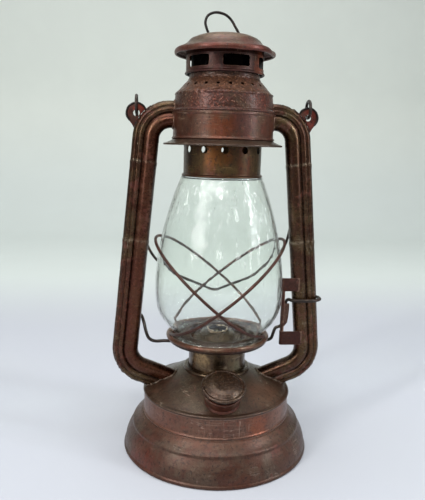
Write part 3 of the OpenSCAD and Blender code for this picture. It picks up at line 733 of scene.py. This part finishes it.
def tube_line():
    """Centreline stations (x, z) from the chamber to the tank, each with its outward direction."""
    st = [(np.array([x, TOP_C[1] + RT]), np.array([0.0, 1.0])) for x in (39.6, 40.6, 41.6)]
    for i in range(BEND_STEPS + 1):
        o = heading(90 - (90 - LEAN) * i / BEND_STEPS)
        st.append((TOP_C + RT * o, o))
    for i in range(1, LEG_STEPS):
        st.append((LEG0 + DOWN * LEG_LEN * i / LEG_STEPS, UP))
    for i in range(BEND_STEPS + 1):
        o = heading(LEAN - (LEAN - TUBE_END) * i / BEND_STEPS)
        st.append((LOW_C + RL * o, o))
    o = heading(TUBE_END)
    return st + [(LOW_C + RL * o + turned_right(o) * k, o) for k in (4, 10, 16, 22, 28, 33)]


def tube_piece(stations, side, sleeved, seed):
    """Closed tube over the stations; a sleeved one swells at its first end, over the joint.
    Its masks say where painted highlights lie (along the ridges), where painted shade lies (in the creases,
    at the section's edges and inside), and what faces inwards."""
    n = len(SECTION)
    verts, masks = [], {"worn": [], "inner": []}
    # each mark is (x across the section, width, amount): below zero it paints shade in a crease, above zero
    # a highlight along a ridge
    marks = ((1.35, 0.6, -0.6), (6.2, 0.4, -0.3), (-9.6, 1.4, -0.5), (-4.4, 0.9, 0.4), (3.6, 1.1, 0.45))
    for inset in (0, WALL):
        for i, (c, o) in enumerate(stations):
            swell = (0.24, 0.22, 0.06)[i] if sleeved and i < 3 else 0.0
            for x, y in SECTION:
                k = 1 + (swell - inset) / REACH
                at = c + x * k * o
                ly = y * k
                w = wobble((at[0], ly, at[1]), 0.22, 0.06, seed)
                q = (at[0] + w * 0.6, ly * (1 + w * 0.04), at[1])
                crimp = 0.0
                if x > 8.8 and (o[1] < -0.35 or 0.35 < o[1] < 0.98):
                    crimp = wobble(q, 0.75, 0.42, seed + 5) + wobble(q, 0.35, 1.1, seed + 6)
                verts.append((side * (q[0] + crimp * o[0]), q[1], q[2] + crimp * o[1]))
                v = sum(math.exp(-((x - xm) / wide) ** 2) * amount for xm, wide, amount in marks)
                # points inside the tube and at the section's two edges get painted shade
                masks["worn"].append(v if inset == 0 and abs(y) > 0.5 else -0.4)
                masks["inner"].append(0.0 if x > 1.5 else 0.9 if side < 0 else 0.3)
    m = len(stations)
    faces = []
    for s in (0, 1):
        for i in range(m - 1):
            for k in range(n):
                l = (k + 1) % n
                a, b = s * m * n + i * n, s * m * n + (i + 1) * n
                faces.append((a + k, b + k, b + l, a + l))
    for i in (0, m - 1):
        for k in range(n):
            l = (k + 1) % n
            faces.append((i * n + k, i * n + l, m * n + i * n + l, m * n + i * n + k))
    return verts, faces, masks


line = tube_line()
leg = [i for i, (centre, out) in enumerate(line) if out is UP]
high, low = (min(leg, key=lambda i: abs(line[i][0][1] - z)) for z in JOINTS)
for side, word in SIDES:
    runs = (("upper", line[:high + 1]), ("middle", line[high:low + 1]), ("lower", line[low:]))
    for k, (part, stations) in enumerate(runs):
        v, f, masks = tube_piece(stations, side, k > 0, seed=side * 3 + k)
        make(f"tube_{word}_{part}_skin", v, f, "frame", [f"tube_{word}_{part}"],
             TUBE, angle=50, masks=masks)

# ------ top chamber

brim = rounded([
    (48.0, 258.9), (48.5, 259.3), (48.5, 260.1), (47.7, 260.5), (46.4, 260.7), (42.9, 262.3),
    (41.9, 262.7), (41.5, 263.2), (40.6, 263.6), (38.8, 263.6), (33.2, 263.6), (32.8, 263.2),
    (32.8, 261.7)], 0.5)
add("chamber_brim", sheet(brim, WALL), "frame", ["chamber_floor"], "chamber_steel", BRIM, seg=180,
    uneven=0.3, freq=0.05, seed=9)
wall = rounded([
    (40.9, 263.65), (41.7, 263.9), (41.9, 264.6), (41.4, 265.3), (40.9, 265.8), (40.8, 267), (40.8, 275),
    (40.7, 282.5), (41.15, 283.1), (40.75, 283.8), (40.7, 284.68)], 0.4)
add("chamber_wall", sheet(wall, WALL), "frame", ["chamber_band"], "chamber_steel", CHAMBER_LOW, seg=180,
    uneven=0.3, freq=0.06, seed=11)
crown = rounded([
    (40.7, 284.72), (41.3, 285.0), (41.6, 285.7), (41.3, 286.5), (40.5, 286.9), (39.95, 287.4),
    (39.8, 290), (39.4, 295.4), (39.2, 297.6), (39.5, 298.6), (39.2, 299.6), (38.1, 300.4), (35.5, 303.0),
    (33.4, 305.4), (31.7, 307.3), (30.2, 308.9), (29.2, 310.0), (28.6, 311), (28.4, 312.4),
    (28.4, 314.2)], 0.5)
top = add(
    "chamber_crown", sheet(crown, WALL), "frame", ["chamber_top"], "chamber_steel", CHAMBER_TOP, seg=300,
    uneven=0.25, freq=0.05, seed=13,
    relief=[(287.6, 298, 0.16, 0.6), (297.6, 302, 0.55, 0.33), (309.5, 312.5, 0.45, 0.35)])
pierce(top, 22, -88.4, circle(1.5, 16), 6, 33.4, 306.0, 44, back=3)

# ------ chimney and cap

pipe = rounded([
    (32.3, 234.1), (33.1, 234.5), (33.3, 235.2), (32.9, 235.9), (32.2, 236.2), (31.8, 236.8), (31.8, 238),
    (31.8, 255), (31.8, 271.2), (31.4, 272.6), (29.5, 274.6), (27.2, 276.5)], 0.5)
tube = add(
    "chimney_pipe", sheet(pipe, WALL), "chimney", ["chimney_tube"], "chimney_metal", CHIMNEY, seg=240,
    uneven=0.15, seed=15)
pierce(tube, 12, -92.8, circle(2.9, 22), 14, 25, 255.8, 90)

collar = rounded([
    (30.2, 316), (30.4, 314.6), (31.0, 314.1), (31.8, 314.3), (32.0, 315.0), (31.6, 315.8), (31.1, 316.4),
    (31.0, 317.2), (31.0, 327.6), (31.15, 328.3), (31.0, 329), (31.0, 336.9), (30.2, 336.9),
    (30.2, 317.6), (26.9, 317.6), (26.9, 316.8), (30.2, 316.8), (30.2, 316)], 0.35)[:-1]
vented = add(
    "cap_collar", collar, "chimney", ["cap_band"], "cap_steel", CAP_BAND, seg=240, uneven=0.12, seed=17)
HALF_W, HALF_H, CORNER = 10.6, 4.2, 1.9  # of the band's slots
slot = []
for sx, sy, a0 in ((1, 1, 0), (-1, 1, 90), (-1, -1, 180), (1, -1, 270)):
    slot += arc(sx * (HALF_H - CORNER), sy * (HALF_W - CORNER), CORNER, a0, a0 + 90, 4)
pierce(vented, 6, 40.7, slot, 16, 22, 322.75, 90)

hood = rounded([
    (38.7, 329.8), (39.0, 329.2), (39.8, 329.2), (40.4, 330.1), (40.5, 331.6), (40.0, 333.0),
    (38.8, 333.9), (37.0, 334.5), (34.0, 335.9), (31.4, 337.5), (29.6, 339.3), (28.2, 341.0),
    (27.2, 341.6), (26.2, 341.6), (25.3, 342.1), (24.0, 343.0), (20, 344.2), (14, 345.2), (8, 345.6),
    (3, 345.7), (0, 345.7)], 0.7)
add("cap_hood", sheet(hood, WALL), "chimney", ["cap_top"], "cap_steel", CAP, seg=220, uneven=0.35,
    freq=0.04, seed=19, dents=[(-24, 333, 9, 1.2, 1.1), (-75, 332, 7, 0.3, 0.5), (-140, 332, 8, 0.3, 0.5)])

loop = smooth([
    (-13.9, 0, 341.6), (-13.9, 0, 346), (-15.4, 0, 350), (-16.4, 0, 354.4), (-14.6, 0, 359.2),
    (-10.4, 0, 361.6), (-5.4, 0, 361.9), (0, 0, 360.2), (4.4, 0, 356.4), (7.8, 0, 351.2),
    (10.8, 0, 346.4), (12.4, 0, 343.4), (12.4, 0, 341.6)], 6)
v, f = wire(loop, RING_WIRE, seed=1)
make("cap_ring", v, f, "chimney", ["cap_loop"], BLACK_WIRE)

# ------ globe carriage

dish = rounded([
    (42.2, 98.9), (42.2, 99.8), (42.8, 100.3), (43.5, 100.0), (43.6, 99.2), (43.2, 98.4), (43.2, 97.0),
    (42.6, 95.3), (41.2, 94.2), (39.6, 94.0), (37.4, 94.0), (36.5, 94.5), (36.0, 95.5), (35, 95.6),
    (31.6, 95.6), (30.2, 96.6), (28.4, 98.9), (27.2, 99.8), (25.9, 99.7), (25.6, 98.9), (25.6, 91.2)],
    0.5)
add("dish", sheet(dish, -WALL), "globe_carriage", ["globe_plate"], "tank_steel", DISH_SHADED, seg=180,
    uneven=0.15, seed=23)

add("dish_roll", arc(42.0, 98.5, 2.1, 0, 342, 19), "globe_carriage", None, "tank_steel", DISH, seg=180,
    uneven=0.3, freq=0.07, seed=27)

outside = [(34.3, 96.42), (34.8, 97.1), (34.6, 98), (34.1, 98.6)] + [tuple(p) for p in smooth(
    [(34.5, 99), (36.8, 101), (41.8, 106.5), (47.2, 113), (51.6, 121), (53.6, 130), (54.2, 140),
     (53.8, 152), (52.2, 166), (49.4, 182), (45.6, 198), (40.6, 215), (36.2, 227), (34, 232.4)], 5)[1:]]
outside += [(33.9, 233.4), (33.5, 233.95)]
v, f = turned(rounded(sheet(outside, 2.2), 0.5, 2), seg=128, uneven=0.25, freq=0.03, seed=25)
make("globe_glass", v, f, "globe_carriage", ["globe"], GLASS, angle=60)


def globe_radius(z):
    return float(np.interp(z, [q[1] for q in outside], [q[0] for q in outside]))


CROSS_Z = 136.5  # height about which the guard wires slope
FALL, LEAD = 0.84, 0.07  # how steeply they fall to one side, and to the front
CLEAR, SLACK = 2.3, 2.2  # mm off the glass all round, and more at the top


def guard(out, flip):
    """Path of a guard wire: a sloping ring round the globe, its two ends down in the dish. It
    stands out mm further off at the front and back; flip mirrors it."""
    def point(phi):
        c, q = math.cos(radians(phi)), math.sin(radians(phi))
        height = lambda r: CROSS_Z - FALL * r * c - LEAD * r * q
        r = 50.0
        for _ in range(8):
            r = globe_radius(height(r)) + CLEAR + (SLACK * c * c if c < 0 else 0)
        far = r + out * q * q
        return (flip * far * c, -far * q, height(r))
    p = [(flip * 38.7, -7.4, 96.2), (flip * 38.8, -9.6, 98.6)]
    p += [point(20 + 320 * i / 44) for i in range(45)]
    p += [(flip * 38.8, 9.6, 98.6), (flip * 38.7, 7.4, 96.2)]
    return placed([tuple(q) for q in smooth(p, 3)], Matrix.Rotation(radians(-6.5), 4, "Z"))


for word, out, flip in (("left", 0, 1), ("right", 2.7, -1)):
    v, f = wire(guard(out, flip), BAIL_WIRE, seed=flip * 2)
    make(f"guard_{word}", v, f, "globe_carriage", [f"guard_wire_{word}"], RUSTY_WIRE)

lift = smooth([
    (-71, 10.2, 116), (-66, 9, 113), (-63.6, 4, 108.5), (-61.6, 0.6, 101), (-59, 0, 95), (-54, 0, 92.4),
    (-46, 0, 92.56), (-36, 0, 92.56), (-27, 8, 92.56), (-20, 19, 92.56), (-8, 27, 92.56), (8, 27, 92.56),
    (20, 19, 92.56), (27, 8, 92.56), (36, 0, 92.56), (43, 0, 92.4), (47.4, 0, 94.2), (49.2, 0, 99),
    (51, 0.1, 103.6), (55, 0.2, 105.2), (57.6, 0.2, 109), (58.4, 0.2, 117), (59, 0.2, 126.4),
    (60.4, -3.4, 130.1), (63, -8, 130.3), (70, -9.4, 130.3), (80, -9, 130.3), (87, -5, 130.3),
    (88.6, 0, 130.3), (87, 5.4, 130.3), (80, 9.3, 130.3), (71, 10, 130.3)], 6)
v, f = wire(lift, LIFT_WIRE, seed=5)
make("lifter", v, f, "globe_carriage", ["lift_wire"], WIRE)

# ------ bail

flat = smooth([
    (-70, 0), (-70, 14), (-70, 30), (-68.8, 70), (-66.4, 104), (-63.4, 124), (-59.4, 135.4), (-54.4, 144),
    (-46, 153.4), (-35.6, 161.4), (-21, 168.4), (-8, 174.4), (3, 178.4), (13, 174.8), (24, 170),
    (39, 163), (50, 153), (60, 142), (66, 131), (68.8, 118), (70.2, 90), (70.6, 60), (70, 30), (70, 14),
    (70, 0)], 5)
EAR_X, EAR_Z, EYE_R = 70, 283.2, 6.8  # the ears' holes, and the bail's eyes that hang in them
BAIL_Z, BEHIND = 290, 18.1  # height of the eyes' centres, and degrees that the bail is off plumb
eye = arc(0, 0, EYE_R, 290, 7, 43)
path = ([(-EAR_X, y, z) for y, z in eye] + [(x, EYE_R, -u) for x, u in flat]
        + [(EAR_X, y, z) for y, z in eye[::-1]])
m = Matrix.Translation((0, 0, BAIL_Z)) @ Matrix.Rotation(radians(BEHIND), 4, "X")
v, f = wire(placed(path, m), BAIL_WIRE, seed=8)
make("bail_wire", v, f, "bail", ["bail"], WIRE)

# ------ ears and lift bracket

def plate(outline, y0, y1, holes=(), bevel=0.16):
    """Flat plate over an XZ outline between two Y planes, with holes and rounded edges."""
    cu = bpy.data.curves.new("plate", "CURVE")
    cu.dimensions, cu.fill_mode = "2D", "BOTH"
    cu.extrude, cu.bevel_depth, cu.bevel_resolution = (y1 - y0) / 2 - bevel, bevel, 1
    cu.offset = -bevel
    for loop in [outline, *holes]:
        sp = cu.splines.new("POLY")
        ring = dense(loop, 1.0)
        sp.points.add(len(ring) - 1)
        for q, (x, z) in zip(sp.points, ring):
            q.co = (x, z, 0, 1)
        sp.use_cyclic_u = True
    ob = bpy.data.objects.new("plate", cu)
    me = bpy.data.meshes.new_from_object(ob)
    verts = [(v.co.x, (y0 + y1) / 2 - v.co.z, v.co.y) for v in me.vertices]
    faces = [tuple(f.vertices) for f in me.polygons]
    bpy.data.objects.remove(ob)
    bpy.data.curves.remove(cu)
    bpy.data.meshes.remove(me)
    return verts, faces


for side, word in SIDES:
    lobe = arc(EAR_X, EAR_Z, 8.4, -38, 172, 30)
    foot = arc(*TOP_C, 30.74, 58, 16, 18)
    out = [(side * x, z) for x, z in lobe + [(59.2, 289.6)] + foot + [(73.6, 274.2)]]
    hole = [(side * EAR_X + x, EAR_Z + z) for x, z in circle(2.6, 24)]
    v, f = plate(out, -0.6, 0.6, [hole])
    make(f"ear_{word}_plate", v, f, "frame", [f"ear_{word}"], EAR, angle=30)
    hem = [(side * x, -0.55, z) for x, z in smooth(arc(EAR_X, EAR_Z, 7.9, -44, 168, 12), 3)]
    hem += [(side * x, -0.55, z) for x, z in ((59.6, 287.6), (58.8, 288.6))]
    v, f = wire(hem, 0.85, sides=10, uneven=0.2, seed=side + 11)
    make(f"ear_{word}_hem", v, f, "frame", None, BLACK_WIRE, angle=60)
    v, f = wire([(side * x, -0.6, z) for x, z in arc(EAR_X, EAR_Z, 3.1, 0, 375, 25)], 0.5, sides=10,
                uneven=0.15, seed=side, round_ends=False)
    make(f"ear_{word}_eyelet", v, f, "frame", None, EAR, angle=60)


def bent_strip(points, lo, hi, rows=14):
    """Strip of sheet whose cross-section runs along points (x, y), from height lo to hi."""
    loop = sheet(rounded(points, 1.0, 4), -WALL)
    verts, faces, n = [], [], len(loop)
    for j in range(rows + 1):
        z = lo + (hi - lo) * j / rows
        for x, y in loop:
            w = wobble((x, y, z), 0.25, 0.12, 3)
            verts.append((x + 0.3 * w, y + 0.5 * w, z))
    for j in range(rows):
        for i in range(n):
            k = (i + 1) % n
            faces.append((j * n + i, j * n + k, (j + 1) * n + k, (j + 1) * n + i))
    faces += [tuple(range(n))[::-1], tuple(rows * n + i for i in range(n))]
    return verts, faces


hook = [(55.0, -2.0), (54.3, -4.4), (54.6, -6.0), (56.2, -6.2)]
parts = [
    bent_strip(hook + [(60, -6.1), (66, -6.3), (68.8, -7.0)], 138.2, 149.6),
    bent_strip(hook + [(62, -6.1), (70, -6.4), (72.8, -7.1)], 90.4, 102.4),
    bent_strip([(56.8, -6.1), (55.4, -6.1), (54.5, -5.6), (54.3, -4.4), (54.4, -2.6)], 102.0, 138.6)]
tongue = [(54.3, 104), (56.6, 104.6), (58.6, 106.4), (60.6, 109), (61.3, 114), (61.8, 121), (61.8, 125.6),
          (61.2, 126.2), (59.2, 126.2), (58.4, 126.8), (56.4, 130.2), (54.3, 133)]
parts.append(plate(tongue, -2.5, -1.7))
verts, faces = joined(parts)
make("bracket_strap", verts, faces, "frame", ["lift_bracket"], BRACKET, angle=30)

# ------ soldered joints

CHAMBER_R, SHOULDER_R, SHOULDER_Z = 40.9, 39.9, 286.5
FULL, STEP, FAR = 1.02, 0.15, 45  # the bead's size against the tube's, and the search for it


def inside(where, r, z):
    """Whether a point is in the tank, or in the chamber."""
    if where == "tank":
        return z < slope_z(r) + 0.4
    return r < (CHAMBER_R if z < SHOULDER_Z else SHOULDER_R - (z - SHOULDER_Z) * 0.06)


def solder(side, where):
    """Bead of solder where the tube meets the tank's slope or the chamber's wall."""
    if where == "tank":
        o = heading(TUBE_END)
        start, way = LOW_C + RL * o, turned_right(o)
    else:
        o, way = np.array([0.0, 1.0]), np.array([-1.0, 0.0])
        start = TOP_C + RT * o
    pts = []
    for x, y in SECTION:
        k = 0.0
        p = start + o * x * FULL
        while k < FAR and not inside(where, math.hypot(p[0], y), p[1]):
            k += STEP
            p = start + o * x * FULL + way * k
        pts.append((side * p[0], y * FULL, p[1]))
    return wire(smooth(pts + pts[:2], 2), 0.75, sides=10, uneven=0.5, seed=side + 3, round_ends=False)


for side, word in SIDES:
    for where, mat in (("tank", CONE), ("chamber", CHAMBER_LOW)):
        v, f = solder(side, where)
        make(f"solder_{where}_{word}", v, f, "frame", None, mat, angle=60)

# ------ CAD pieces that stay

for name, mat in {"tank_bottom": PLATE, "burner_collar": PLATE, "filler_gasket": CORK,
                  "burner_base": SILVER, "wick_tube": SILVER, "wick": COTTON, "wick_spindle": SILVER,
                  "wick_wheels": PLATE, "wick_knob": PLATE, "burner_dome": DOME,
                  "inner_flue": SOOT_AND_SHADE}.items():
    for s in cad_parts[name].material_slots:
        s.material = mat

# ------ floor and light

def stage():
    """Plain pale floor that curves up into a pale wall, in metres."""
    edge, r, top, half = 1.1, 0.5, 3.2, 4
    bend = [(edge + r * math.sin(radians(a)), r - r * math.cos(radians(a))) for a in range(6, 91, 6)]
    prof = [(-3.0, 0), (edge, 0)] + bend + [(edge + r, top)]
    verts = [(x, y, z) for y, z in prof for x in (-half, half)]
    faces = [(2 * i, 2 * i + 1, 2 * i + 3, 2 * i + 2) for i in range(len(prof) - 1)]
    me = bpy.data.meshes.new("backdrop")
    me.from_pydata(verts, [], faces)
    me.polygons.foreach_set("use_smooth", [True] * len(me.polygons))
    m = Nodes("backdrop_paint")
    col = m.mix(m.band(m.axis(1), 0.3, 0.7), lin(179, 182, 190), lin(205, 212, 209))
    col = m.mix(m.band(m.axis(2), 0.05, 0.4), col, lin(219, 224, 217))
    col = m.mix(m.band(m.noise(9, 2), 0.3, 0.7, 0.0, 0.08), col, lin(190, 194, 190))
    me.materials.append(m.done(m.node("ShaderNodeBsdfPrincipled", Base_Color=col, Roughness=0.85)))
    new_object("backdrop", me)


def area(name, where, at, size, power, color=(1, 1, 1)):
    """Rectangular light at where, aimed at the point at."""
    l = bpy.data.lights.new(name, "AREA")
    l.shape, l.size, l.size_y, l.energy, l.color = "RECTANGLE", size[0], size[1], power, color
    ob = new_object(name, l)
    ob.location = where
    ob.rotation_mode = "QUATERNION"
    ob.rotation_quaternion = (Vector(at) - Vector(where)).to_track_quat("-Z", "Y")


stage()
area("strip_left", (-0.9, -0.75, 0.75), (0, 0, 0.2), (0.08, 0.9), 9, (1, 0.985, 0.96))
area("strip_front", (-0.25, -1.25, 1.15), (0, 0, 0.2), (0.3, 0.1), 5, (1, 0.99, 0.97))
area("strip_right", (0.95, -0.45, 0.7), (0, 0, 0.2), (0.07, 0.9), 7, (0.95, 0.975, 1))
area("top", (-0.2, -0.1, 1.8), (0, 0, 0.1), (1.3, 1.3), 19)


def air():
    """Soft light that is bright overhead and dim round the sides; the camera sees it pale."""
    world = bpy.data.worlds.new("air")
    world.use_nodes = True
    t = world.node_tree
    back = t.nodes["Background"]
    coord = t.nodes.new("ShaderNodeTexCoord")
    split = t.nodes.new("ShaderNodeSeparateXYZ")
    ramp = t.nodes.new("ShaderNodeMapRange")
    ramp.interpolation_type = "SMOOTHSTEP"
    for key, value in (("From Min", 0.1), ("From Max", 0.75), ("To Min", 0.16), ("To Max", 0.8)):
        ramp.inputs[key].default_value = value
    seen = t.nodes.new("ShaderNodeLightPath")
    pick = t.nodes.new("ShaderNodeMix")
    pick.inputs[3].default_value = 0.72
    t.links.new(coord.outputs["Generated"], split.inputs[0])
    t.links.new(split.outputs[2], ramp.inputs["Value"])
    t.links.new(seen.outputs["Is Camera Ray"], pick.inputs[0])
    t.links.new(ramp.outputs[0], pick.inputs[2])
    t.links.new(pick.outputs[0], back.inputs[1])
    back.inputs[0].default_value = (0.86, 0.89, 0.9, 1)
    return world


bpy.context.scene.world = air()
bpy.context.scene.view_settings.view_transform = "Standard"

# ------ camera

TURN, DIST, HIGH = 6.5, 0.4761, 0.2580  # degrees left of the front, metres off the axis and up
YAW, PITCH, ROLL = 0.735, 10.215, 1.484  # degrees that it looks past the axis, down and tilted
cam = bpy.data.cameras.new("camera")
cam.sensor_width, cam.lens = 36, 41.19
cam.clip_start, cam.clip_end = 0.01, 50
ob = new_object("camera", cam)
ob.location = (-DIST * math.sin(radians(TURN)), -DIST * math.cos(radians(TURN)), HIGH)
ob.rotation_mode = "QUATERNION"
ob.rotation_quaternion = (Matrix.Rotation(radians(-TURN + YAW), 3, "Z")
                          @ Matrix.Rotation(radians(90 - PITCH), 3, "X")
                          @ Matrix.Rotation(radians(ROLL), 3, "Z")).to_quaternion()
bpy.context.scene.camera = ob
